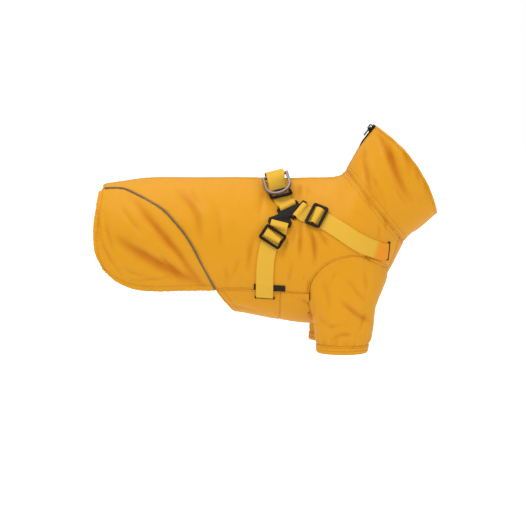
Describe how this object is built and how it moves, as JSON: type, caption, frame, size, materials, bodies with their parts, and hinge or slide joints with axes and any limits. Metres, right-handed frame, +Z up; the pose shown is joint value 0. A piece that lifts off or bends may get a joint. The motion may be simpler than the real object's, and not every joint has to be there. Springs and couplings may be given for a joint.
{
  "type": "dog raincoat with built-in harness",
  "caption": "Hollow dog raincoat in its worn form, with sleeves, raised collar, back zip, reflective piping and a built-in webbing harness whose ring takes a lead.",
  "frame": {"origin": "inside of the coat on the spine above the withers, where it hangs on its wearer", "axes": "+X along the back towards the collar, +Z up, -Y the right flank, metres"},
  "size_m": [0.3994, 0.1466, 0.2623],
  "materials": {
    "coat_cloth": "coated woven shell, soft satin",
    "webbing": "woven flat webbing",
    "black_cloth": "matt woven tape and lining",
    "reflective_piping": "grey reflective tape",
    "black_plastic": "moulded, satin",
    "steel": "dark plated wire"
  },
  "bodies": {
    "coat": {"back_strap": "webbing", "belly_panel": "coat_cloth", "chest_panel": "coat_cloth", "chest_slider_left": "black_plastic", "chest_slider_right": "black_plastic", "chest_strap_left": "webbing", "chest_strap_right": "webbing", "collar": "coat_cloth", "collar_lining": "black_cloth", "cuff_left": "coat_cloth", "cuff_right": "coat_cloth", "girth_slider_left": "black_plastic", "girth_slider_right": "black_plastic", "girth_strap_left": "webbing", "girth_strap_right": "webbing", "inner_chest_strap": "webbing", "inner_girth_strap": "webbing", "piping_left": "reflective_piping", "piping_right": "reflective_piping", "shoulder_strap_left": "webbing", "shoulder_strap_right": "webbing", "side_label": "black_cloth", "side_panel_left": "coat_cloth", "side_panel_right": "coat_cloth", "skirt_panel_left": "coat_cloth", "skirt_panel_right": "coat_cloth", "sleeve_left": "coat_cloth", "sleeve_right": "coat_cloth", "strap_plate_left": "black_plastic", "strap_plate_right": "black_plastic", "strap_ring_left": "black_plastic", "strap_ring_right": "black_plastic", "zip_slider": "black_plastic", "zip_tape_left": "black_cloth", "zip_tape_right": "black_cloth"},
    "lead_ring": {"lead_ring": "steel"},
    "zip_pull": {"zip_pull": "black_plastic"}
  },
  "joints": [
    {"name": "lead_ring_swing", "type": "hinge", "parent": "coat", "child": "lead_ring", "pos_m": [-0.02974, -0.01724, 0.00641], "axis": [-0.9613, -0.0119, -0.2754], "range_deg": [0, 120]},
    {"name": "zip_pull_lift", "type": "hinge", "parent": "coat", "child": "zip_pull", "pos_m": [0.08161, 0, 0.06198], "axis": [0, 1, 0], "range_deg": [0, 140]}
  ]
}
